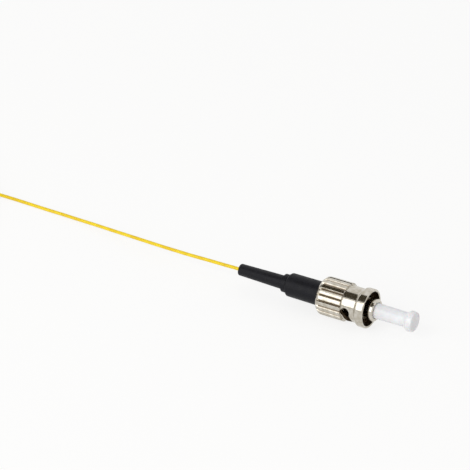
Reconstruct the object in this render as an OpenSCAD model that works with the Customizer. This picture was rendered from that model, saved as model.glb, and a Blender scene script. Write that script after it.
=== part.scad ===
// Bayonet fibre connector for single tight-buffered fibre, with its boot, dust cap and lead.
// The ferrule's axis is X, and the front of the barrel is at x = 0.

/* [Ferrule] */
// Diameter of the ceramic ferrule
ferrule_d = 2.5; // [2:0.05:3]
// Length of the ceramic ferrule
ferrule_l = 10.5; // [8:0.5:13]
// How far the ferrule stands out of the barrel
ferrule_out = 5; // [3:0.25:6]
// Width of the bevel round the ferrule's tip
ferrule_bevel = 0.4; // [0.2:0.05:0.6]
// Diameter of the bare glass fibre
glass_d = 0.125; // [0.1:0.005:0.15]

/* [Barrel] */
// Outer diameter of the barrel
barrel_d = 5.7; // [5.2:0.1:6]
// Length of the barrel, up to the collar
barrel_l = 8; // [7:0.25:10]
// Bevel round the barrel's front
barrel_bevel = 0.25; // [0.1:0.05:0.4]
// Length of the plain land at the barrel's front
land_l = 2.3; // [1.5:0.1:3]
// Diameter of the barrel behind the land
barrel_rear_d = 5.38; // [5:0.02:5.38]
// Width of the relief behind the land
relief_w = 0.45; // [0.3:0.05:0.8]
// Depth of the relief behind the land
relief_depth = 0.3; // [0.2:0.01:0.4]
// Width of the key on the barrel
key_w = 0.9; // [0.6:0.1:1.2]
// Length of the key on the barrel
key_l = 2.4; // [1.5:0.1:3]
// Height of the key above the barrel
key_h = 0.6; // [0.3:0.05:0.7]
// Depth of the recess in the barrel's front, where the cap's end sits
recess_depth = 1.5; // [1:0.1:2]

/* [Body behind the barrel] */
// Length of the collar that the spring pushes on
collar_l = 1.2; // [0.8:0.1:2]
// Diameter of the shaft that the nut turns on
shaft_d = 4.4; // [4:0.1:4.8]
// Length of the stub that the crimp sleeve grips
stub_l = 6; // [4:0.25:8]
// Diameter of the stub that the crimp sleeve grips
stub_d = 3.8; // [3.2:0.1:4]
// Number of grip grooves round the stub
stub_grooves = 5; // [3:1:8]
// Depth of the grip grooves
stub_groove_depth = 0.15; // [0.1:0.05:0.3]

/* [Coupling nut] */
// Diameter over the knurled ridges
knurl_d = 9.8; // [9.6:0.1:11]
// Length of the knurled part
knurl_l = 7.2; // [6:0.1:10]
// Number of ridges round the knurl
knurl_count = 20; // [12:1:24]
// Depth of the grooves between the ridges
knurl_depth = 0.34; // [0.15:0.01:0.45]
// Length of the bevel at the knurl's rear
knurl_rear_bevel = 1; // [0.4:0.1:1.5]
// Drop of the bevel at the knurl's rear
knurl_rear_drop = 0.6; // [0.2:0.05:0.8]
// Diameter of the smooth neck
neck_d = 8.9; // [8.7:0.05:9.3]
// Length of the smooth neck
neck_l = 3.4; // [3.2:0.1:4.5]
// Length of the cove between the neck and the front flange
cove_l = 1; // [0.6:0.1:1.5]
// Diameter of the front flange
flange_d = 10; // [9.8:0.1:11]
// Length of the front flange
flange_l = 1.8; // [1.4:0.1:2.5]
// Radius of the flange's front edge
flange_r = 0.35; // [0.15:0.05:0.45]
// Distance from the barrel's front back to the nut's front
nut_setback = 1.6; // [1:0.1:2.5]
// Thickness of the nut's rear wall
rear_wall = 1.3; // [0.8:0.1:2]
// Outer diameter of the adapter sleeve that the nut goes over
sleeve_d = 7; // [6.6:0.05:7.2]
// Diameter over the adapter's two lugs
lugs_d = 8.6; // [8.2:0.05:8.7]
// Diameter of the adapter's lugs
lug_d = 1.8; // [1.5:0.05:2]
// Diameter of the two detent holes
detent_d = 2.5; // [2.2:0.05:2.7]
// Distance from the knurl forward to the detent holes' centres
detent_ahead = 1.18; // [1.1:0.01:1.2]
// Turn between a slot's entry and its detent hole
bayonet_turn = 50; // [40:1:60]
// How far the ramp rises towards the detent hole
ramp_rise = 1; // [0.6:0.05:1.2]
// Turn of the whole nut about its axis
nut_clock = 5; // [0:1:18]

/* [Spring and clip] */
// Diameter of the spring's wire
wire_d = 0.45; // [0.35:0.05:0.5]
// Number of turns of the spring
spring_turns = 3.5; // [3:0.5:4]
// Thickness of the thrust washer
washer_t = 0.4; // [0.3:0.05:0.6]
// Thickness of the retaining clip
clip_t = 0.5; // [0.4:0.05:0.6]
// Depth of the groove that the clip snaps into
clip_groove = 0.4; // [0.3:0.05:0.5]
// Width of the clip's open side
clip_open = 2.6; // [2:0.1:3]

/* [Crimp sleeve and guide tube] */
// Wall of the crimp sleeve
crimp_wall = 0.35; // [0.25:0.05:0.4]
// Length of the crimp sleeve's narrow end
crimp_neck_l = 3.2; // [2:0.1:4]
// Wall of the guide tube
guide_wall = 0.25; // [0.15:0.05:0.3]

/* [Boot] */
// Diameter of the boot at its front
boot_d = 6.15; // [6.1:0.05:7]
// Diameter of the boot's wide part at its rear end
boot_rear_d = 6; // [5.6:0.05:6.5]
// Length of the boot's wide part
boot_wide_l = 9.7; // [9:0.1:12]
// Length of the step between the wide part and the tail
boot_step = 0.45; // [0.3:0.05:1]
// Diameter of the tail at the step
tail_d = 3.45; // [2.8:0.05:4]
// Diameter of the tail at its end
tail_end_d = 2.9; // [2.4:0.05:3.2]
// Length of the tail
tail_l = 13.7; // [10:0.1:20]

/* [Dust cap] */
// Diameter of the cap's tube at its open end
cap_d = 4.06; // [3.8:0.02:4.3]
// Diameter of the cap's tube at the head
cap_neck_d = 3.84; // [3.6:0.02:4]
// Diameter of the cap's head
cap_head_d = 5.38; // [4.8:0.02:5.4]
// Length of the cap ahead of the barrel
cap_out = 11.2; // [9:0.1:14]
// Length of the cap's head
cap_head_l = 1.5; // [1:0.1:2]
// Length of the flare between the tube and the head
cap_flare_l = 1.4; // [1:0.1:2]
// Height of the dome on the cap's front
cap_dome = 0.3; // [0.1:0.05:0.5]

/* [Lead] */
// Diameter of the tight-buffered fibre
buffer_d = 0.9; // [0.8:0.05:1]
// Diameter across the middle of the coil's turns
coil_d = 16; // [14:0.1:18]
// Number of turns side by side in the coil's widest layers
coil_across = 5; // [4:1:6]
// Number of layers in the coil
coil_layers = 4; // [3:1:5]
// Width of the coil's tie
tie_w = 3; // [2:0.25:5]
// Thickness of the coil's tie
tie_t = 0.26; // [0.15:0.01:0.3]

/* [Fits] */
// Radial gap between pieces that turn or slide on each other
running_gap = 0.08; // [0.05:0.01:0.1]
// Radial gap round a piece that is only slipped on
slip_gap = 0.05; // [0.03:0.01:0.08]
// Gap between faces that lie against each other
face_gap = 0.05; // [0.02:0.01:0.1]

/* [Hidden] */
$fn = 64;
eps = 0.01;

// Places along the axis
nut_front = -nut_setback;
cove_front = nut_front - flange_l;
neck_front = cove_front - cove_l;
knurl_front = neck_front - neck_l;
nut_rear = knurl_front - knurl_l;
cavity_rear = nut_rear + rear_wall;
collar_rear = -barrel_l - collar_l;
clip_front = nut_rear - face_gap;
clip_rear = clip_front - clip_t;
shaft_rear = clip_rear - clip_t / 2;
stub_rear = shaft_rear - stub_l;
ferrule_rear = ferrule_out - ferrule_l;
strip_x = ferrule_rear - 4;
boot_front = nut_rear - 3 * face_gap;
boot_shoulder = boot_front - boot_wide_l;
tail_front = boot_shoulder - boot_step;
boot_rear = tail_front - tail_l;

// Radii that follow from the fits
bore_r = sleeve_d / 2 + running_gap;
mouth_r = lugs_d / 2 + running_gap;
collar_r = bore_r - running_gap;
shaft_r = shaft_d / 2;
hub_r = shaft_r + running_gap;
washer_r = bore_r - 2 * running_gap;
recess_r = cap_d / 2 + running_gap;
grip_r = ferrule_d / 2 + running_gap / 2;
guide_bore_r = buffer_d / 2 + slip_gap;
guide_r = guide_bore_r + guide_wall;
clip_r = shaft_r + clip_groove;
crimp_r = stub_d / 2 + slip_gap + crimp_wall;
crimp_neck_r = guide_bore_r + crimp_wall;
floor_z = -flange_d / 2;

// Length, mean radius and end places of the spring
spring_r = (shaft_r + running_gap + bore_r) / 2;
spring_front = collar_rear - face_gap - wire_d / 2;
washer_front = cavity_rear + face_gap + washer_t;
spring_rear = washer_front + face_gap + wire_d / 2;

// Turns a solid drawn round +Z so that it lies round +X, with local +X along +Y
module on_axis() { rotate([90, 0, 90]) children(); }

// A turned piece from its half outline, given as [radius, place along the axis]
module turned(outline) { on_axis() rotate_extrude() polygon(outline); }

// Points along an arc round c, from angle a0 to a1, both ends included
function arc(c, r, a0, a1, n) =
    [for (i = [0:n]) let (a = a0 + (a1 - a0) * i / n) c + r * [cos(a), sin(a)]];

// A round bore along the axis
module bore(r, from, to) { on_axis() translate([0, 0, from]) cylinder(r = r, h = to - from); }

// ---- Dust cap: a soft tube over the ferrule, with a flared and domed head to pull it by ----

module dust_cap() {
    open_r = cap_d / 2;
    neck_r = cap_neck_d / 2;
    head_r = cap_head_d / 2;
    end_x = face_gap - recess_depth;
    head_front = cap_out - cap_dome;
    head_rear = cap_out - cap_head_l;
    flare_rear = head_rear - cap_flare_l;
    rise = head_r - neck_r;
    edge = cap_head_l / 4;
    tip_x = ferrule_out + face_gap;
    color([0.93, 0.93, 0.95])
        turned(concat(
            [[grip_r, end_x], [open_r, end_x], [neck_r, flare_rear]],
            [for (i = [1:8]) let (t = i / 8)
                [neck_r + rise * (1 - cos(90 * t)), flare_rear + cap_flare_l * sin(90 * t)]],
            arc([head_r - edge, head_front - edge], edge, 0, 60, 4),
            [for (i = [1:5]) let (t = 1 - i / 5)
                [(head_r - edge / 2) * t, cap_out - cap_dome * t * t]],
            [[0, tip_x + grip_r / 2], [grip_r, tip_x]]));
}

// ---- Ferrule, with the fibre in its fine bore ----

module ferrule() {
    r = ferrule_d / 2;
    fine_r = glass_d / 2;
    funnel_r = buffer_d / 2;
    slope = 2 * ferrule_bevel;
    color([0.95, 0.94, 0.9])
        turned([[fine_r, ferrule_out], [r - ferrule_bevel, ferrule_out],
                [r, ferrule_out - slope], [r, ferrule_rear + ferrule_bevel / 2],
                [r - ferrule_bevel / 2, ferrule_rear], [funnel_r, ferrule_rear],
                [fine_r, ferrule_rear + 2 * funnel_r]]);
}

module glass_fibre() {
    color([0.8, 0.85, 0.9]) bore(glass_d / 2, strip_x, ferrule_out);
}

// ---- Connector body: barrel, collar, shaft and stub, turned from one bar ----

module connector_body() {
    r = barrel_d / 2;
    relief_front = -land_l;
    relief_rear = relief_front - relief_w;
    rear_r = barrel_rear_d / 2;
    key_root = 0.1;
    groove_pitch = stub_l / (stub_grooves + 1);
    color([0.78, 0.76, 0.7])
        difference() {
            union() {
                turned([[0, 0], [r - barrel_bevel, 0], [r, -barrel_bevel],
                        [r, relief_front], [r - relief_depth, relief_front],
                        [r - relief_depth, relief_rear], [rear_r, relief_rear],
                        [rear_r, -barrel_l], [collar_r, -barrel_l], [collar_r, collar_rear],
                        [shaft_r, collar_rear], [shaft_r, clip_front],
                        [shaft_r - clip_groove, clip_front],
                        [shaft_r - clip_groove, clip_rear], [shaft_r, clip_rear],
                        [shaft_r, shaft_rear], [stub_d / 2, shaft_rear],
                        [stub_d / 2, stub_rear], [0, stub_rear]]);
                on_axis() translate([0, rear_r + key_h / 2 - key_root, relief_rear - key_l / 2])
                    cube([key_w, key_h + 2 * key_root, key_l], center = true);
            }
            bore(recess_r, -recess_depth, eps);
            bore(ferrule_d / 2, ferrule_rear, 0);
            bore(guide_r + slip_gap, stub_rear - eps, ferrule_rear + eps);
            for (i = [1:stub_grooves])
                on_axis() translate([0, 0, shaft_rear - i * groove_pitch])
                    rotate_extrude()
                        translate([stub_d / 2, 0]) rotate(45)
                            square(stub_groove_depth * sqrt(2), center = true);
        }
}

// ---- Coupling nut ----

// A cutter that stands on the axis at an angle, from radius r0 to r1. The children are its
// outline: their +X points to the nut's rear and their +Y round the nut.
module radial_cut(angle, place, r0, r1) {
    on_axis() rotate(angle) translate([r0, 0, place])
        rotate([0, 90, 0]) linear_extrude(r1 - r0) children();
}

// A straight slot with round ends between two points
module slot_outline(a, b, w) {
    along = b - a;
    turn = atan2(along.y, along.x);
    polygon(concat(arc(b, w / 2, turn - 90, turn + 90, 8),
                   arc(a, w / 2, turn + 90, turn + 270, 8)));
}

// One bayonet slot: the detent hole, the ramp round the neck and the entry from the mouth
module bayonet_slot() {
    slot_w = lug_d + 2 * running_gap;
    through_r = flange_d / 2 + eps;
    core_r = bore_r / 2;
    detent_x = knurl_front + detent_ahead;
    entry_x = detent_x + ramp_rise;
    entry_end = neck_front + cove_l / 3 - slot_w / 2;
    step_turn = bayonet_turn / 2;
    reach = neck_d / 2 * tan(step_turn / 2);
    rise = ramp_rise / 2;
    radial_cut(0, detent_x, core_r, through_r) circle(d = detent_d);
    for (i = [0:1])
        radial_cut(step_turn * (i + 0.5), detent_x + rise * i, core_r, through_r)
            slot_outline([0, -reach], [-rise, reach], slot_w);
    radial_cut(bayonet_turn, entry_x, core_r, through_r)
        slot_outline([0, 0], [entry_x - entry_end, 0], slot_w);
    radial_cut(bayonet_turn, entry_x, core_r, mouth_r)
        translate([entry_x - nut_front - eps, -slot_w / 2])
            square([nut_front + eps - entry_x, slot_w]);
}

// The nut without its grooves and slots: knurled length, neck, cove, flange and bores
module nut_blank() {
    r = knurl_d / 2;
    neck_r = neck_d / 2;
    rim_r = flange_d / 2;
    rise = rim_r - neck_r;
    front_bevel = knurl_depth / 2;
    rim_bevel = 0.12;
    turned(concat(
        [[hub_r, nut_rear], [r - knurl_rear_drop, nut_rear],
         [r - knurl_rear_drop / 4, nut_rear + knurl_rear_bevel / 2],
         [r, nut_rear + knurl_rear_bevel], [r, knurl_front - front_bevel],
         [r - front_bevel, knurl_front], [neck_r, knurl_front], [neck_r, neck_front]],
        [for (i = [1:5]) let (t = i / 6)
            [neck_r + rise * (1 - cos(180 * t)) / 2, neck_front + cove_l * t]],
        [[rim_r, cove_front]],
        arc([rim_r - flange_r, nut_front - flange_r], flange_r, 0, 90, 5),
        [[mouth_r + rim_bevel, nut_front], [mouth_r, nut_front - rim_bevel],
         [mouth_r, cove_front], [bore_r, cove_front],
         [bore_r, cavity_rear], [hub_r, cavity_rear]]));
}

module coupling_nut() {
    color([0.8, 0.78, 0.72])
        difference() {
            nut_blank();
            for (i = [0:knurl_count - 1])
                on_axis() rotate(nut_clock + i * 360 / knurl_count)
                    translate([knurl_d / 2, 0, nut_rear - eps])
                        linear_extrude(knurl_l + 2 * knurl_depth) rotate(45)
                            square(knurl_depth * sqrt(2), center = true);
            for (side = [0, 180])
                rotate([nut_clock + side, 0, 0]) bayonet_slot();
        }
}

// ---- Spring, washer and clip that hold the nut on the shaft ----

// Height along a closed-end spring after t turns, as a share of its whole length
function spring_share(t, turns, dead) =
    t < 1 ? dead * t
    : t > turns - 1 ? 1 - dead * (turns - t)
    : dead + (1 - 2 * dead) * (t - 1) / (turns - 2);

module spring() {
    steps = 20 * spring_turns;
    sides = 8;
    length = spring_front - spring_rear;
    dead = (wire_d + 0.02) / length;
    rings = [for (i = [0:steps])
        let (t = i / 20, a = 360 * t,
             x = spring_rear + length * spring_share(t, spring_turns, dead))
        [for (k = [0:sides - 1])
            let (b = 360 * k / sides, r = spring_r + wire_d / 2 * cos(b))
            [x + wire_d / 2 * sin(b), r * cos(a), r * sin(a)]]];
    color([0.7, 0.7, 0.7]) tube_of(rings, sides);
}

// A closed tube through rings of points
module tube_of(rings, sides) {
    last = len(rings) - 1;
    polyhedron(
        points = [for (ring = rings) each ring],
        faces = concat(
            [[for (k = [0:sides - 1]) k]],
            [for (i = [0:last - 1]) for (k = [0:sides - 1])
                let (a = i * sides + k, b = i * sides + (k + 1) % sides)
                each [[a, a + sides, b + sides], [a, b + sides, b]]],
            [[for (k = [sides - 1:-1:0]) last * sides + k]]));
}

module thrust_washer() {
    color([0.72, 0.7, 0.66])
        difference() {
            bore(washer_r, cavity_rear + face_gap, washer_front);
            bore(hub_r, cavity_rear, washer_front + eps);
        }
}

module retaining_clip() {
    color([0.35, 0.35, 0.36])
        difference() {
            bore(clip_r, clip_rear + eps, clip_front - eps);
            bore(shaft_r - clip_groove + slip_gap, clip_rear, clip_front);
            on_axis() translate([-clip_open / 2, -2 * clip_r, clip_rear])
                cube([clip_open, 2 * clip_r, clip_t]);
        }
}

// ---- Guide tube, crimp sleeve and boot ----

module guide_tube() {
    color([0.92, 0.92, 0.9])
        difference() {
            bore(guide_r, stub_rear + face_gap, ferrule_rear - face_gap);
            bore(guide_bore_r, stub_rear, ferrule_rear);
        }
}

module crimp_sleeve() {
    front = shaft_rear - face_gap;
    wide_rear = stub_rear - crimp_wall - face_gap;
    neck_front_x = wide_rear - (crimp_r - crimp_neck_r) / 2;
    rear = neck_front_x - crimp_neck_l;
    grip = stub_d / 2 + slip_gap;
    color([0.75, 0.72, 0.66])
        turned([[grip, front], [crimp_r, front], [crimp_r, wide_rear],
                [crimp_neck_r, neck_front_x], [crimp_neck_r, rear], [guide_bore_r, rear],
                [guide_bore_r, stub_rear - face_gap], [grip, stub_rear - face_gap]]);
}

module boot() {
    wall_gap = 2 * slip_gap;
    sleeve_rear = stub_rear - 2 * crimp_wall;
    neck_rear = sleeve_rear - (crimp_r - crimp_neck_r) / 2 - crimp_neck_l;
    clip_room = clip_rear - 3 * face_gap;
    end_r = 0.35;
    fillet = 0.3;
    edge = 0.35;
    wide_r = boot_rear_d / 2;
    step_r = tail_d / 2;
    rear_r = tail_end_d / 2;
    color([0.14, 0.14, 0.16])
        turned(concat(
            [[clip_r + wall_gap, boot_front], [boot_d / 2, boot_front]],
            arc([wide_r - edge, boot_shoulder + edge], edge, 0, -60, 4),
            [[step_r + fillet, tail_front], [step_r, tail_front - fillet]],
            arc([rear_r - end_r, boot_rear + end_r], end_r, 0, -90, 4),
            [[guide_bore_r, boot_rear], [guide_bore_r, neck_rear - wall_gap],
             [crimp_neck_r + wall_gap, neck_rear - wall_gap],
             [crimp_neck_r + wall_gap, sleeve_rear - crimp_r / 2],
             [crimp_r + wall_gap, sleeve_rear],
             [crimp_r + wall_gap, clip_room], [clip_r + wall_gap, clip_room]]));
}

// ---- Lead: the fibre's route, its coil and the coil's tie ----

lie_z = floor_z + buffer_d / 2;
coil_centre = [-130, -2.2];
coil_z = floor_z + tie_t + 0.04 + coil_layers * buffer_d / 2;

// Points of the route, from inside the connector to the coil
lead_route = [
    [strip_x, 0, 0], [boot_rear - 1, 0, 0], [-43, 0, -0.1], [-47, 0.1, -0.2], [-51, 0.3, -0.4],
    [-55, 0.6, -0.7], [-59, 1.1, -1], [-63, 1.7, -1.4], [-67, 2.4, -1.8],
    [-71, 3.1, -2.2], [-75, 3.8, -2.6], [-79, 4.5, -3], [-83, 5.2, -3.4],
    [-87, 5.8, -3.7], [-91, 6.3, -4], [-95, 6.8, -4.3], [-99, 7.1, -4.4],
    [-103, 7.3, lie_z], [-107, 7.4, lie_z], [-111, 7.5, lie_z], [-115, 7.6, lie_z],
    [-119, 7.6, lie_z], [-122.5, 7.6, lie_z], [-125.4, 7.6, lie_z]
];

// Direction of the route at point i
function heading(route, i) =
    let (a = route[max(i - 1, 0)], b = route[min(i + 1, len(route) - 1)]) (b - a) / norm(b - a);

// A ring of points round point i of a route that runs mostly along X
function ring_at(route, i, r, sides) =
    let (h = heading(route, i), side = cross([0, 0, 1], h), s = side / norm(side), u = cross(h, s))
    [for (k = [0:sides - 1]) let (a = 360 * (k + 0.5) / sides)
        route[i] + r * (cos(a) * s + sin(a) * u)];

module fibre_lead() {
    sides = 8;
    color([0.93, 0.8, 0.08])
        tube_of([for (i = [0:len(lead_route) - 1])
            ring_at(lead_route, i, buffer_d / 2, sides)], sides);
}

// The section of the coil's bundle, grown by a margin
module bundle_section(margin) {
    across = coil_across * buffer_d / 2 + margin;
    up = coil_layers * buffer_d / 2 + margin;
    corner = buffer_d / 4;
    translate([coil_d / 2, 0])
        polygon([[across, corner - up], [across, up - corner], [across - corner, up],
                 [corner - across, up], [-across, up - corner], [-across, corner - up],
                 [corner - across, -up], [across - corner, -up]]);
}

module fibre_coil() {
    color([0.93, 0.8, 0.08])
        translate([coil_centre.x, coil_centre.y, coil_z]) rotate_extrude() bundle_section(0);
}

module coil_tie() {
    gap = 0.03;
    angle = tie_w / (coil_d / 2) * 180 / PI;
    color([0.15, 0.15, 0.15])
        translate([coil_centre.x, coil_centre.y, coil_z]) rotate([0, 0, 180 - angle / 2])
            rotate_extrude(angle = angle) difference() {
                bundle_section(gap + tie_t);
                bundle_section(gap);
            }
}

dust_cap();
ferrule();
glass_fibre();
connector_body();
coupling_nut();
spring();
thrust_washer();
retaining_clip();
guide_tube();
crimp_sleeve();
boot();
fibre_lead();
fibre_coil();
coil_tie();
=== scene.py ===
"""Bayonet fibre connector with its pigtail lead, dressed for a plain studio render.

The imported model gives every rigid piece. This script adds the camera, the lead, the soft cap and
boot, the finishes, the light and the floor. Lengths are in metres unless a name ends in _mm.
"""

import logging
import math
from dataclasses import dataclass
from enum import Enum
from typing import Mapping, Sequence

import bmesh
import bpy
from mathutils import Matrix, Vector


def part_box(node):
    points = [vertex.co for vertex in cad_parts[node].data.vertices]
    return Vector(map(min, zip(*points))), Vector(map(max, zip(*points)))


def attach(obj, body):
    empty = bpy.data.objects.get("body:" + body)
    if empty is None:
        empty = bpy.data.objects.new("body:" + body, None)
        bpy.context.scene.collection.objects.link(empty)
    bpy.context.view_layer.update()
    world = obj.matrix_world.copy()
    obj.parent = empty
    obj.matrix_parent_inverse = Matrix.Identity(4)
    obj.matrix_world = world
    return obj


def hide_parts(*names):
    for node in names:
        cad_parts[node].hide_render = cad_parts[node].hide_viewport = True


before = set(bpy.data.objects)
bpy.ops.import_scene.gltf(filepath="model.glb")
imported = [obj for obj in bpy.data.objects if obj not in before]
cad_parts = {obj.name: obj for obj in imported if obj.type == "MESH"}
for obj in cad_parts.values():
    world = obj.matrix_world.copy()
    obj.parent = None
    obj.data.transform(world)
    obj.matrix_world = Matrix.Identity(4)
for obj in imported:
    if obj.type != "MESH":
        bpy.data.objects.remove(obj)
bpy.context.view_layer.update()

LOG = logging.getLogger("connector_scene")
MM = 0.001
FLOOR_Z = -5.0 * MM
Rgba = tuple[float, float, float, float]
WHITE: Rgba = (1.0, 1.0, 1.0, 1.0)
# A colour Mix node's inputs and output, and a number Mix node's inputs
COLOUR_A, COLOUR_B, COLOUR_OUT = 6, 7, 2
NUMBER_A, NUMBER_B = 2, 3


@dataclass(frozen=True)
class StudioCamera:
    """Where the camera stands and what it looks at."""

    target_mm: tuple[float, float, float] = (-34.14, -10.61, 16.21)
    azimuth: float = 31.655
    elevation: float = 28.726
    distance_mm: float = 600.0
    lens_mm: float = 188.5
    clip_near: float = 0.01
    clip_far: float = 20.0

    def build(self) -> bpy.types.Object:
        """Creates the camera and makes it the scene's own.

        Returns:
            The camera object.
        """
        data = bpy.data.cameras.new("studio_camera")
        data.lens = self.lens_mm
        data.clip_start = self.clip_near
        data.clip_end = self.clip_far
        camera = bpy.data.objects.new("studio_camera", data)
        bpy.context.scene.collection.objects.link(camera)
        azimuth = math.radians(self.azimuth)
        elevation = math.radians(self.elevation)
        back = Vector((
            math.sin(azimuth) * math.cos(elevation),
            -math.cos(azimuth) * math.cos(elevation),
            math.sin(elevation),
        ))
        camera.location = Vector(self.target_mm) * MM + back * (self.distance_mm * MM)
        camera.rotation_mode = "QUATERNION"
        camera.rotation_quaternion = (-back).to_track_quat("-Z", "Y")
        bpy.context.scene.camera = camera
        return camera


@dataclass(frozen=True)
class LeadPlan:
    """The tight-buffered fibre: its size, the points of its route and its coil."""

    diameter_mm: float = 0.9
    length_m: float = 1.0
    exit_mm: tuple[float, float, float] = (-39.0, 0.0, 0.0)
    coil_centre_mm: tuple[float, float] = (-130.0, -2.2)
    coil_lift_mm: float = 0.3
    coil_mid_mm: float = 8.0
    across: int = 5
    layers: int = 4
    points_per_turn: int = 24
    route_mm: tuple[tuple[float, float, float], ...] = (
        (-9.5, 0, 0), (-24, 0, 0), (-40, 0, 0), (-43, 0, -0.1), (-47, 0.1, -0.2),
        (-51, 0.3, -0.4), (-55, 0.6, -0.7), (-59, 1.1, -1), (-63, 1.7, -1.4),
        (-67, 2.4, -1.8), (-71, 3.1, -2.2), (-75, 3.8, -2.6), (-79, 4.5, -3),
        (-83, 5.2, -3.4), (-87, 5.8, -3.7), (-91, 6.3, -4), (-95, 6.8, -4.3),
        (-99, 7.1, -4.4), (-103, 7.3, -4.55), (-107, 7.4, -4.55), (-111, 7.5, -4.55),
        (-115, 7.6, -4.55), (-119, 7.6, -4.55), (-122.5, 7.6, -4.55), (-125.4, 7.6, -4.55),
    )


def smooth_step(value: float) -> float:
    """Eases a share from 0 to 1 with level ends."""
    share = min(max(value, 0.0), 1.0)
    return share * share * (3.0 - 2.0 * share)


class LeadRoute:
    """Works out the lead's centreline: the free stretch and the wound coil."""

    # Share of each turn after which the winding moves over to its next place
    move_from = 0.7
    # Turns over which the lead climbs from the floor to the first place
    climb_turns = 0.25
    # A length short enough to wind only the coil's first point
    first_mm = 0.001

    def __init__(self, plan: LeadPlan) -> None:
        """Keeps the plan.

        Args:
            plan: The lead's sizes and points.
        """
        self.plan = plan

    def slots(self) -> list[tuple[float, float]]:
        """Lists the places of the turns in the bundle, in winding order.

        Returns:
            (radius, height) of each turn's middle, in millimetres.
        """
        pitch = self.plan.diameter_mm
        places: list[tuple[float, float]] = []
        for layer in range(self.plan.layers):
            count = self.plan.across - layer % 2
            inward = [((count - 1) / 2 - i) * pitch for i in range(count)]
            offsets = inward if layer % 2 == 0 else inward[::-1]
            height = FLOOR_Z / MM + self.plan.coil_lift_mm + pitch * (layer + 0.5)
            places += [(self.plan.coil_mid_mm + offset, height) for offset in offsets]
        return places

    def coil_points(self, length_mm: float) -> list[tuple[float, float, float]]:
        """Winds the coil until the given length is used.

        Args:
            length_mm: The length that goes into the coil.

        Returns:
            Points along the coil, in millimetres.
        """
        slots = self.slots()
        centre_x, centre_y = self.plan.coil_centre_mm
        start_z = FLOOR_Z / MM + self.plan.diameter_mm / 2
        step = 1.0 / self.plan.points_per_turn
        points: list[tuple[float, float, float]] = []
        used, turn, last = 0.0, 0.0, None
        while used < length_mm and turn < len(slots) - 0.001:
            index = int(turn + 1e-9)
            share = turn - index
            here = slots[index]
            there = slots[min(index + 1, len(slots) - 1)]
            ease = smooth_step((share - self.move_from) / (1 - self.move_from))
            radius = here[0] + (there[0] - here[0]) * ease
            height = here[1] + (there[1] - here[1]) * ease
            if turn < self.climb_turns:
                climb = smooth_step(turn / self.climb_turns)
                height = start_z + (height - start_z) * climb
            angle = math.pi / 2 + 2 * math.pi * turn
            point = (
                centre_x + radius * math.cos(angle),
                centre_y + radius * math.sin(angle),
                height,
            )
            if last is not None:
                used += math.dist(point, last)
            points.append(point)
            last = point
            turn += step
        LOG.info("coil: %.2f turns of %d places, %.1f mm", turn, len(slots), used)
        return points

    def points(self) -> list[tuple[float, float, float]]:
        """Joins the free stretch and the coil.

        Returns:
            All the points of the centreline, in millimetres.
        """
        free = [tuple(map(float, point)) for point in self.plan.route_mm]
        free_length = sum(math.dist(a, b) for a, b in zip(free, free[1:]))
        start = self.coil_points(self.first_mm)[0]
        gap = math.dist(free[-1], start)
        coil = self.coil_points(self.plan.length_m / MM - free_length - gap)
        return free + coil


def linear(hex_colour: str) -> tuple[float, float, float, float]:
    """Turns an sRGB hex colour into the linear values that shaders take.

    Args:
        hex_colour: Six hex digits, with or without a leading #.

    Returns:
        Red, green, blue and alpha.
    """
    digits = hex_colour.lstrip("#")
    channels = [int(digits[i:i + 2], 16) / 255 for i in (0, 2, 4)]
    return tuple(
        c / 12.92 if c <= 0.04045 else ((c + 0.055) / 1.055) ** 2.4 for c in channels
    ) + (1.0,)


class Grain(Enum):
    """How a surface was made, which sets the direction of its fine texture."""

    MOULDED = "fine even spark texture of a mould"
    TURNED = "rings left by a lathe tool"
    DRAWN = "lines along a drawn or extruded length"


@dataclass(frozen=True)
class Finish:
    """A real surface: its two tones, its gloss and its fine texture."""

    name: str
    colour: str
    shade: str
    mottle_mm: float
    rough: tuple[float, float]
    grain: Grain
    grain_mm: float
    depth_mm: float
    edge_mm: float = 0.0
    metallic: float = 0.0
    ior: float = 1.5
    specular: float = 0.5
    subsurface: float = 0.0
    subsurface_mm: float = 0.0
    transmission: float = 0.0


# Bright nickel plate on turned brass: a warm mirror with faint tool rings. Real rings are about
# 0.05 mm apart, and they are drawn coarser here so that they show.
NICKEL = Finish("nickel_plated_brass", "#CFCAC1", "#BFB8AB", 1.6, (0.1, 0.14),
                Grain.TURNED, 0.32, 0.0004, edge_mm=0.09, metallic=1.0)
# The same plate on the knurled nut, a little duller from handling.
KNURLED = Finish("nickel_plated_knurl_painted_shade", "#CDC8BE", "#B5AE9F", 1.1, (0.11, 0.16),
                 Grain.TURNED, 0.32, 0.0005, edge_mm=0.1, metallic=1.0)
# Drawn stainless spring wire: grey, with a satin sheen along the wire.
SPRING_STEEL = Finish("stainless_spring_wire", "#B4B2AE", "#8E8B86", 0.4, (0.24, 0.36),
                      Grain.DRAWN, 0.1, 0.0008, metallic=1.0)
# Polished zirconia ceramic: dense, white and glassy.
ZIRCONIA = Finish("polished_zirconia", "#F0EEE6", "#E6E3D8", 0.8, (0.06, 0.11),
                  Grain.TURNED, 0.1, 0.0002, edge_mm=0.04, ior=2.1,
                  subsurface=0.15, subsurface_mm=0.3)
# Bare silica fibre: clear glass.
SILICA = Finish("bare_silica_fibre", "#EEF3F6", "#E2EAF0", 0.5, (0.02, 0.05),
                Grain.DRAWN, 0.05, 0.0001, ior=1.46, transmission=0.9)
# Natural polyethylene, moulded and soft: milky, with light carried a little way inside.
POLYETHYLENE = Finish("natural_polyethylene", "#E4E4E6", "#DADBDE", 1.8, (0.3, 0.42),
                      Grain.MOULDED, 0.45, 0.0035, edge_mm=0.12, ior=1.51,
                      subsurface=0.12, subsurface_mm=0.5)
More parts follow.
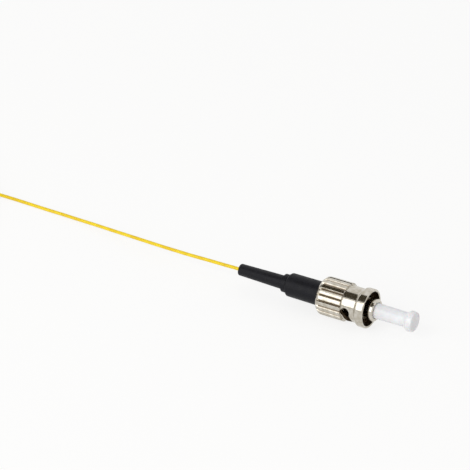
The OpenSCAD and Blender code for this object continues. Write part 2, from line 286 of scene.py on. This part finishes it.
# Moulded thermoplastic elastomer: near black with a blue cast and a fine matt mould texture.
ELASTOMER = Finish("moulded_black_elastomer", "#0D0D12", "#131319", 1.4, (0.46, 0.6),
                   Grain.MOULDED, 0.4, 0.007, edge_mm=0.12, ior=1.48, specular=0.2)
# Extruded tight buffer: strong yellow, satin, with faint lines along its length.
BUFFER = Finish("extruded_yellow_buffer", "#E9CD12", "#DDBB0A", 2.5, (0.32, 0.44),
                Grain.DRAWN, 0.35, 0.002, ior=1.49, specular=0.4)
# Extruded fluoropolymer tube: chalky white and waxy.
PTFE = Finish("extruded_fluoropolymer", "#ECECE8", "#DDDDD8", 0.8, (0.42, 0.52),
              Grain.DRAWN, 0.2, 0.001, ior=1.38, subsurface=0.2, subsurface_mm=0.4)
# Moulded black nylon band: darker and a little glossier than the boot.
NYLON = Finish("moulded_black_nylon", "#1D1D1F", "#28282B", 0.9, (0.36, 0.5),
               Grain.MOULDED, 0.35, 0.004, edge_mm=0.04, ior=1.53)


def add_node(tree: bpy.types.NodeTree, kind: str, settings: Mapping[str, object],
             inputs: Mapping[object, object]) -> bpy.types.Node:
    """Adds a node with its settings and links.

    Args:
        tree: The node tree that gets the node.
        kind: The node's type name.
        settings: The node's own properties.
        inputs: For each input, the socket that feeds it or its plain value.

    Returns:
        The new node.
    """
    node = tree.nodes.new(kind)
    for key, value in settings.items():
        setattr(node, key, value)
    for key, value in inputs.items():
        if isinstance(value, bpy.types.NodeSocket):
            tree.links.new(value, node.inputs[key])
        else:
            node.inputs[key].default_value = value
    return node


def per_metre(size_mm: float) -> float:
    """Turns the real size of a pattern's feature into a texture scale."""
    return 1.0 / (size_mm * MM)


@dataclass(frozen=True)
class PaintedRecessShade:
    """Painted shade on the knurled nut: a warm dark brown in its grooves and inside its bores,
    where shade falls.
    """

    # Colour and roughness of the shade painted into the grooves and bores
    colour: str = "#5E4F3E"
    rough: float = 0.36
    ridge_r_mm: float = 4.88
    groove_r_mm: float = 4.6
    bore_r_mm: float = 4.4
    front_mm: float = -7.82
    rear_mm: float = -14.0

    def mask(self, tree: bpy.types.NodeTree, here: bpy.types.NodeSocket) -> bpy.types.NodeSocket:
        """Measures how deep a point lies under the ridges.

        Args:
            tree: The material's node tree.
            here: The point's place in the nut.

        Returns:
            A socket that is 1 in the grooves and bores, where shade is painted, and 0 on the
            bright faces.
        """
        across = add_node(tree, "ShaderNodeVectorMath", {"operation": "MULTIPLY"},
                          {0: here, 1: (0.0, 1.0, 1.0)})
        radius = add_node(tree, "ShaderNodeVectorMath", {"operation": "LENGTH"},
                          {0: across.outputs["Vector"]}).outputs["Value"]
        along = add_node(tree, "ShaderNodeSeparateXYZ", {}, {0: here}).outputs["X"]
        depth = add_node(tree, "ShaderNodeMapRange", {}, {
            "Value": radius, "From Min": self.groove_r_mm * MM,
            "From Max": self.ridge_r_mm * MM, "To Min": 1.0, "To Max": 0.0})
        behind = add_node(tree, "ShaderNodeMath", {"operation": "LESS_THAN"},
                          {0: along, 1: self.front_mm * MM})
        ahead = add_node(tree, "ShaderNodeMath", {"operation": "GREATER_THAN"},
                         {0: along, 1: self.rear_mm * MM})
        length = add_node(tree, "ShaderNodeMath", {"operation": "MULTIPLY"},
                          {0: behind.outputs[0], 1: ahead.outputs[0]})
        knurl = add_node(tree, "ShaderNodeMath", {"operation": "MULTIPLY"},
                         {0: depth.outputs[0], 1: length.outputs[0]})
        inside = add_node(tree, "ShaderNodeMath", {"operation": "LESS_THAN"},
                          {0: radius, 1: self.bore_r_mm * MM})
        return add_node(tree, "ShaderNodeMath", {"operation": "MAXIMUM"},
                        {0: knurl.outputs[0], 1: inside.outputs[0]}).outputs[0]


class FinishShop:
    """Turns finishes into materials, and keeps each one it has made."""

    # A wave texture at scale 1 repeats every tenth of pi
    wave_period = 0.314159
    ring_wander = 0.6
    ring_detail = 2.0
    grit_detail = 4.0
    drawn_stretch = (0.08, 1.0, 1.0)
    mottle_detail = 3.0
    mottle_range = (0.35, 0.65)
    edge_samples = 6

    def __init__(self) -> None:
        """Starts with no materials made."""
        self.made: dict[str, bpy.types.Material] = {}

    def height(self, tree: bpy.types.NodeTree, here: bpy.types.NodeSocket,
               finish: Finish) -> bpy.types.NodeSocket:
        """Makes the fine texture's height.

        Args:
            tree: The material's node tree.
            here: The point's place in the piece.
            finish: The surface that is drawn.

        Returns:
            The socket with the height.
        """
        if finish.grain is Grain.TURNED:
            rings = add_node(tree, "ShaderNodeTexWave",
                             {"wave_type": "BANDS", "bands_direction": "X"},
                             {"Vector": here, "Distortion": self.ring_wander,
                              "Detail": self.ring_detail,
                              "Scale": self.wave_period * per_metre(finish.grain_mm)})
            return rings.outputs[1]
        even = (1.0, 1.0, 1.0)
        stretch = self.drawn_stretch if finish.grain is Grain.DRAWN else even
        place = add_node(tree, "ShaderNodeVectorMath", {"operation": "MULTIPLY"},
                         {0: here, 1: stretch})
        grit = add_node(tree, "ShaderNodeTexNoise", {},
                        {"Vector": place.outputs["Vector"], "Detail": self.grit_detail,
                         "Scale": per_metre(finish.grain_mm)})
        return grit.outputs[0]

    def make(self, finish: Finish, painted_shade: PaintedRecessShade | None = None) -> bpy.types.Material:
        """Creates a finish's material.

        Args:
            finish: The surface that is drawn.
            painted_shade: Where shade is painted into the colour, if it is.

        Returns:
            The material.
        """
        if finish.name in self.made:
            return self.made[finish.name]
        material = bpy.data.materials.new(finish.name)
        material.use_nodes = True
        tree = material.node_tree
        tree.nodes.clear()
        here = add_node(tree, "ShaderNodeTexCoord", {}, {}).outputs["Object"]
        mottle = add_node(tree, "ShaderNodeTexNoise", {}, {
            "Vector": here, "Scale": per_metre(finish.mottle_mm),
            "Detail": self.mottle_detail})
        share = add_node(tree, "ShaderNodeMapRange", {}, {
            "Value": mottle.outputs[0], "From Min": self.mottle_range[0],
            "From Max": self.mottle_range[1]})
        tone = add_node(tree, "ShaderNodeMix", {"data_type": "RGBA"}, {
            0: share.outputs[0], COLOUR_A: linear(finish.colour),
            COLOUR_B: linear(finish.shade)})
        gloss = add_node(tree, "ShaderNodeMapRange", {}, {
            "Value": share.outputs[0], "To Min": finish.rough[0], "To Max": finish.rough[1]})
        colour, rough = tone.outputs[COLOUR_OUT], gloss.outputs[0]
        # Painted shade: a darker, warm brown tone in the nut's grooves and bores
        if painted_shade is not None:
            mask = painted_shade.mask(tree, here)
            colour = add_node(tree, "ShaderNodeMix", {"data_type": "RGBA"}, {
                0: mask, COLOUR_A: colour,
                COLOUR_B: linear(painted_shade.colour)}).outputs[COLOUR_OUT]
            rough = add_node(tree, "ShaderNodeMix", {"data_type": "FLOAT"}, {
                0: mask, NUMBER_A: rough, NUMBER_B: painted_shade.rough}).outputs[0]
        relief = {"Height": self.height(tree, here, finish), "Strength": 1.0,
                  "Distance": finish.depth_mm * MM}
        if finish.edge_mm > 0:
            relief["Normal"] = add_node(tree, "ShaderNodeBevel", {"samples": self.edge_samples}, {
                "Radius": finish.edge_mm * MM}).outputs[0]
        bump = add_node(tree, "ShaderNodeBump", {}, relief)
        facts = {"Base Color": colour, "Roughness": rough, "Normal": bump.outputs[0],
                 "Metallic": finish.metallic, "Specular IOR Level": finish.specular,
                 "Transmission Weight": finish.transmission,
                 "Subsurface Weight": finish.subsurface,
                 "Subsurface Scale": finish.subsurface_mm * MM}
        if finish.metallic < 1:
            facts["IOR"] = finish.ior
        shader = add_node(tree, "ShaderNodeBsdfPrincipled", {}, facts)
        add_node(tree, "ShaderNodeOutputMaterial", {}, {"Surface": shader.outputs[0]})
        self.made[finish.name] = material
        return material


def soften(mesh: bpy.types.Mesh, crease: float) -> None:
    """Shades a mesh smooth, apart from its sharp edges.

    Args:
        mesh: The mesh to shade.
        crease: The angle in degrees from which an edge counts as sharp.
    """
    mesh.polygons.foreach_set("use_smooth", [True] * len(mesh.polygons))
    mesh.set_sharp_from_angle(angle=math.radians(crease))


LATHE_CREASE = 40.0


def lathe(name: str, outline_mm: Sequence[tuple[float, float]], sides: int) -> bpy.types.Object:
    """Turns a closed half outline round the connector's axis.

    Args:
        name: The piece's name.
        outline_mm: (place along the axis, radius) of each corner, going round the section.
        sides: The number of steps round the axis.

    Returns:
        The turned object.
    """
    shape = bmesh.new()
    rings = []
    for place, radius in outline_mm:
        count = sides if radius > 0 else 1
        angles = [2 * math.pi * i / count for i in range(count)]
        rings.append([
            shape.verts.new((place * MM, radius * MM * math.cos(a), radius * MM * math.sin(a)))
            for a in angles
        ])
    for near, far in zip(rings, rings[1:] + rings[:1]):
        if len(near) == 1 and len(far) == 1:
            continue
        for i in range(sides):
            j = (i + 1) % sides
            corners = [near[i % len(near)], near[j % len(near)],
                       far[j % len(far)], far[i % len(far)]]
            shape.faces.new(list(dict.fromkeys(corners)))
    bmesh.ops.recalc_face_normals(shape, faces=shape.faces)
    mesh = bpy.data.meshes.new(name)
    shape.to_mesh(mesh)
    shape.free()
    soften(mesh, LATHE_CREASE)
    piece = bpy.data.objects.new(name, mesh)
    bpy.context.scene.collection.objects.link(piece)
    return piece


@dataclass(frozen=True)
class DustCap:
    """The soft cap over the ferrule, with a flared and domed head to pull it by."""

    open_r_mm: float = 2.01
    neck_r_mm: float = 1.85
    head_r_mm: float = 2.61
    front_r_mm: float = 2.2
    bore_r_mm: float = 1.29
    rear_mm: float = -1.45
    flare_mm: tuple[float, float] = (7.8, 9.4)
    front_mm: float = 10.8
    dome_mm: float = 0.3
    lip_mm: float = 0.07
    bore_end_mm: float = 5.05
    sides: int = 96
    flare_steps: int = 14
    dome_steps: int = 8
    edge_steps: int = 5
    edge_turn: float = 75.0
    edge_share: float = 0.75

    def outline(self) -> list[tuple[float, float]]:
        """Draws the section: tube, flare, rounded edge, dome and bore.

        Returns:
            (place along the axis, radius) of each corner, in millimetres.
        """
        start, end = self.flare_mm
        rise = self.head_r_mm - self.neck_r_mm
        outline = [(self.rear_mm, self.bore_r_mm), (self.rear_mm, self.open_r_mm - self.lip_mm),
                   (self.rear_mm + self.lip_mm, self.open_r_mm)]
        for i in range(self.flare_steps + 1):
            share = i / self.flare_steps
            radius = self.neck_r_mm + rise * (1 - math.cos(math.pi * share)) / 2
            outline.append((start + (end - start) * share, radius))
        edge_x = self.front_mm - self.dome_mm
        edge = (self.head_r_mm - self.front_r_mm) * self.edge_share
        outline.append((edge_x - 2 * edge, self.head_r_mm - edge / 4))
        for i in range(self.edge_steps + 1):
            angle = math.radians(self.edge_turn * i / self.edge_steps)
            outline.append((edge_x - edge + edge * math.sin(angle),
                            self.front_r_mm + edge * math.cos(angle)))
        for i in range(self.dome_steps + 1):
            share = 1 - i / self.dome_steps
            outline.append((self.front_mm - self.dome_mm * share ** 2, self.front_r_mm * share))
        outline += [(self.bore_end_mm + self.bore_r_mm / 2, 0.0),
                    (self.bore_end_mm, self.bore_r_mm)]
        return outline

    def build(self, shop: FinishShop) -> bpy.types.Object:
        """Makes the cap and lets it stand for its solid.

        Args:
            shop: The maker of the materials.

        Returns:
            The cap.
        """
        cap = lathe("dust_cap_moulded", self.outline(), self.sides)
        cap.data.materials.append(shop.make(POLYETHYLENE))
        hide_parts("dust_cap")
        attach(cap, "cap")
        LOG.info("made %s", cap.name)
        return cap


@dataclass(frozen=True)
class Boot:
    """The one-piece boot: a wide sleeve, a rounded shoulder and a tapered tail."""

    front_r_mm: float = 3.06
    rear_r_mm: float = 3.0
    shoulder_mm: float = -24.25
    tail_front_mm: float = -25.6
    tail_r_mm: float = 1.78
    tail_end_r_mm: float = 1.52
    fibre_r_mm: float = 0.5
    lip_mm: float = 0.14
    slack_mm: float = 0.03
    sides: int = 96
    shoulder_steps: int = 14

    def outline(self) -> list[tuple[float, float]]:
        """Draws the section, with a bore that fits the crimp sleeve.

        Returns:
            (place along the axis, radius) of each corner, in millimetres.
        """
        low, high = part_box("boot")
        sleeve_low, sleeve_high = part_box("crimp_sleeve")
        front, rear = high[0] / MM, low[0] / MM
        sleeve_rear = sleeve_low[0] / MM - self.slack_mm
        bore_r = sleeve_high[2] / MM + self.slack_mm
        outline = [(front, bore_r), (front, self.front_r_mm - self.lip_mm),
                   (front - self.lip_mm, self.front_r_mm)]
        span = self.tail_front_mm - self.shoulder_mm
        drop = self.rear_r_mm - self.tail_r_mm
        for i in range(self.shoulder_steps + 1):
            share = i / self.shoulder_steps
            radius = self.tail_r_mm + drop * (1 + math.cos(math.pi * share)) / 2
            outline.append((self.shoulder_mm + span * share, radius))
        outline += [(rear + self.lip_mm, self.tail_end_r_mm),
                    (rear + self.lip_mm / 3, self.tail_end_r_mm - self.lip_mm / 3),
                    (rear, self.tail_end_r_mm - self.lip_mm), (rear, self.fibre_r_mm),
                    (sleeve_rear, self.fibre_r_mm), (sleeve_rear, bore_r)]
        return outline

    def build(self, shop: FinishShop) -> bpy.types.Object:
        """Makes the boot and lets it stand for its solid.

        Args:
            shop: The maker of the materials.

        Returns:
            The boot.
        """
        boot = lathe("boot_moulded", self.outline(), self.sides)
        boot.data.materials.append(shop.make(ELASTOMER))
        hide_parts("boot")
        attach(boot, "body")
        LOG.info("made %s", boot.name)
        return boot


class PigtailLead:
    """The buffered fibre, with its stored coil, as one cord."""

    roundness = 4
    smoothness = 4
    curve_order = 3

    def __init__(self, plan: LeadPlan) -> None:
        """Keeps the plan.

        Args:
            plan: The lead's sizes and points.
        """
        self.plan = plan

    def build(self, shop: FinishShop) -> bpy.types.Object:
        """Args:
            shop: The maker of the materials.

        Returns:
            The lead object.
        """
        plan = self.plan
        curve = bpy.data.curves.new("fibre_lead_buffer", "CURVE")
        curve.dimensions = "3D"
        curve.bevel_depth = plan.diameter_mm / 2 * MM
        curve.bevel_resolution = self.roundness
        curve.resolution_u = self.smoothness
        curve.use_fill_caps = True
        points = LeadRoute(plan).points()
        spline = curve.splines.new("NURBS")
        spline.points.add(len(points) - 1)
        for slot, point in zip(spline.points, points):
            slot.co = (point[0] * MM, point[1] * MM, point[2] * MM, 1.0)
        spline.order_u = self.curve_order
        spline.use_endpoint_u = True
        curve.materials.append(shop.make(BUFFER))
        lead = bpy.data.objects.new("fibre_lead_buffer", curve)
        bpy.context.scene.collection.objects.link(lead)
        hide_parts("fibre_lead", "fibre_coil")
        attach(lead, "body")
        LOG.info("made %s", lead.name)
        return lead


@dataclass(frozen=True)
class CarriedPieces:
    """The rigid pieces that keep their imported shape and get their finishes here."""

    crease: float = 32.0

    def dress(self, shop: FinishShop) -> None:
        """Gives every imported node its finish.

        Args:
            shop: The maker of the materials.
        """
        finishes = {
            "dust_cap": POLYETHYLENE, "ferrule": ZIRCONIA, "glass_fibre": SILICA,
            "connector_body": NICKEL, "thrust_washer": NICKEL, "crimp_sleeve": NICKEL,
            "spring": SPRING_STEEL, "retaining_clip": SPRING_STEEL, "guide_tube": PTFE,
            "boot": ELASTOMER, "fibre_lead": BUFFER, "fibre_coil": BUFFER, "coil_tie": NYLON,
        }
        # The nut's material has shade painted into its grooves and bores
        knurled = shop.make(KNURLED, PaintedRecessShade())
        for name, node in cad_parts.items():
            material = knurled if name == "coupling_nut" else shop.make(finishes[name])
            node.data.materials.clear()
            node.data.materials.append(material)
            soften(node.data, self.crease)
            LOG.info("dressed %s in %s", name, material.name)


@dataclass(frozen=True)
class Softbox:
    """A flat lamp that faces the connector's axis straight on."""

    name: str
    place: tuple[float, float, float]
    size: tuple[float, float]
    radiance: float

    def build(self) -> bpy.types.Object:
        """Hangs the lamp.

        Returns:
            The lamp object.
        """
        data = bpy.data.lights.new(self.name, "AREA")
        data.shape = "RECTANGLE"
        data.size, data.size_y = self.size
        data.energy = self.radiance * math.pi * self.size[0] * self.size[1]
        lamp = bpy.data.objects.new(self.name, data)
        bpy.context.scene.collection.objects.link(lamp)
        lamp.location = self.place
        aim = Vector((self.place[0], 0.0, 0.0)) - lamp.location
        lamp.rotation_euler = aim.to_track_quat("-Z", "Y").to_euler()
        LOG.info("hung %s", self.name)
        return lamp


@dataclass(frozen=True)
class ReflectionCard:
    """A card glowing in a dim colour that only shiny faces see: a painted reflection, hung as a
    studio hangs a dark flag.
    """

    name: str
    colour: str
    corners: tuple[tuple[float, float, float], ...]

    def build(self) -> bpy.types.Object:
        """Hangs the card.

        Returns:
            The card object.
        """
        material = bpy.data.materials.new(self.name)
        material.use_nodes = True
        tree = material.node_tree
        tree.nodes.clear()
        # Painted reflection: the card glows in its own dim colour
        glow = add_node(tree, "ShaderNodeEmission", {}, {"Color": linear(self.colour)})
        add_node(tree, "ShaderNodeOutputMaterial", {}, {"Surface": glow.outputs[0]})
        mesh = bpy.data.meshes.new(self.name)
        mesh.from_pydata(self.corners, [], [tuple(range(len(self.corners)))])
        mesh.materials.append(material)
        card = bpy.data.objects.new(self.name, mesh)
        bpy.context.scene.collection.objects.link(card)
        # Only glossy rays see the card, so it shows only as a reflection
        card.visible_camera = False
        card.visible_diffuse = False
        card.visible_shadow = False
        return card


@dataclass(frozen=True)
class Studio:
    """The pale floor, the white surround and the soft light."""

    floor_half: float = 3.0
    floor_gap: float = 0.00002
    floor_colour: str = "#F4F3F0"
    floor_rough: float = 0.9
    floor_specular: float = 0.1
    shadow_share: float = 0.2
    surround_light: float = 0.72
    # A wide lamp in front, and a small one for bright points on rounded edges
    lamps: tuple[Softbox, ...] = (
        Softbox("front_softbox", (-0.45, -0.8, 0.4), (1.4, 0.7), 1.5),
        Softbox("small_softbox", (-0.12, -0.42, 0.42), (0.12, 0.12), 8.0),
    )
    # Painted reflections of a dark studio above and of the table's far edge: cards that glow dimly
    # and that only shiny metal sees
    reflection_cards: tuple[ReflectionCard, ...] = (
        ReflectionCard("overhead_reflection_card", "#4C463A",
             ((-1.0, -0.3, 0.45), (0.8, -0.3, 0.45), (0.8, 0.08, 0.45), (-1.0, 0.08, 0.45))),
        ReflectionCard("table_edge_reflection_card", "#2E2820",
             ((-2.0, -1.2, 0.0), (1.2, -1.2, 0.0), (1.2, -1.2, 0.04), (-2.0, -1.2, 0.04))),
    )

    def seen_directly(self, tree: bpy.types.NodeTree) -> bpy.types.NodeSocket:
        """Tells the rays that show the background: straight, mirrored or through glass.

        Args:
            tree: The node tree of the floor or the surround.

        Returns:
            A socket that is 1 for those rays.
        """
        rays = add_node(tree, "ShaderNodeLightPath", {}, {}).outputs
        first = add_node(tree, "ShaderNodeMath", {"operation": "MAXIMUM"},
                         {0: rays["Is Camera Ray"], 1: rays["Is Glossy Ray"]})
        return add_node(tree, "ShaderNodeMath", {"operation": "MAXIMUM"},
                        {0: first.outputs[0], 1: rays["Is Transmission Ray"]}).outputs[0]

    def floor_material(self) -> bpy.types.Material:
        """Makes a white floor that keeps a part of the object's shadow."""
        material = bpy.data.materials.new("studio_floor")
        material.use_nodes = True
        tree = material.node_tree
        tree.nodes.clear()
        matt = add_node(tree, "ShaderNodeBsdfPrincipled", {}, {
            "Base Color": linear(self.floor_colour), "Roughness": self.floor_rough,
            "Specular IOR Level": self.floor_specular})
        white = add_node(tree, "ShaderNodeEmission", {}, {"Color": WHITE})
        share = add_node(tree, "ShaderNodeMath", {"operation": "MULTIPLY"},
                         {0: self.seen_directly(tree), 1: 1 - self.shadow_share})
        blend = add_node(tree, "ShaderNodeMixShader", {}, {
            0: share.outputs[0], 1: matt.outputs[0], 2: white.outputs[0]})
        add_node(tree, "ShaderNodeOutputMaterial", {}, {"Surface": blend.outputs[0]})
        return material

    def build_floor(self) -> None:
        """Lays the floor just under the lowest point."""
        half, height = self.floor_half, FLOOR_Z - self.floor_gap
        mesh = bpy.data.meshes.new("studio_floor")
        corners = [(-half, -half, height), (half, -half, height),
                   (half, half, height), (-half, half, height)]
        mesh.from_pydata(corners, [], [(0, 1, 2, 3)])
        mesh.materials.append(self.floor_material())
        floor = bpy.data.objects.new("studio_floor", mesh)
        bpy.context.scene.collection.objects.link(floor)

    def build_surround(self) -> None:
        """Makes the surround: white where it is seen, and even soft light elsewhere."""
        world = bpy.data.worlds.new("studio_surround")
        bpy.context.scene.world = world
        world.use_nodes = True
        tree = world.node_tree
        tree.nodes.clear()
        soft = add_node(tree, "ShaderNodeBackground", {}, {
            "Color": WHITE, "Strength": self.surround_light})
        seen = add_node(tree, "ShaderNodeBackground", {}, {"Color": WHITE, "Strength": 1.0})
        blend = add_node(tree, "ShaderNodeMixShader", {}, {
            0: self.seen_directly(tree), 1: soft.outputs[0], 2: seen.outputs[0]})
        add_node(tree, "ShaderNodeOutputWorld", {}, {"Surface": blend.outputs[0]})

    def build(self) -> None:
        """Sets up the whole studio."""
        self.build_floor()
        self.build_surround()
        for item in self.lamps + self.reflection_cards:
            item.build()
        LOG.info("studio ready")


def main() -> None:
    """Builds the scene."""
    logging.basicConfig(level=logging.INFO)
    bpy.context.scene.view_settings.view_transform = "Standard"
    StudioCamera().build()
    shop = FinishShop()
    PigtailLead(LeadPlan()).build(shop)
    CarriedPieces().dress(shop)
    DustCap().build(shop)
    Boot().build(shop)
    Studio().build()


if __name__ == "__main__":
    main()
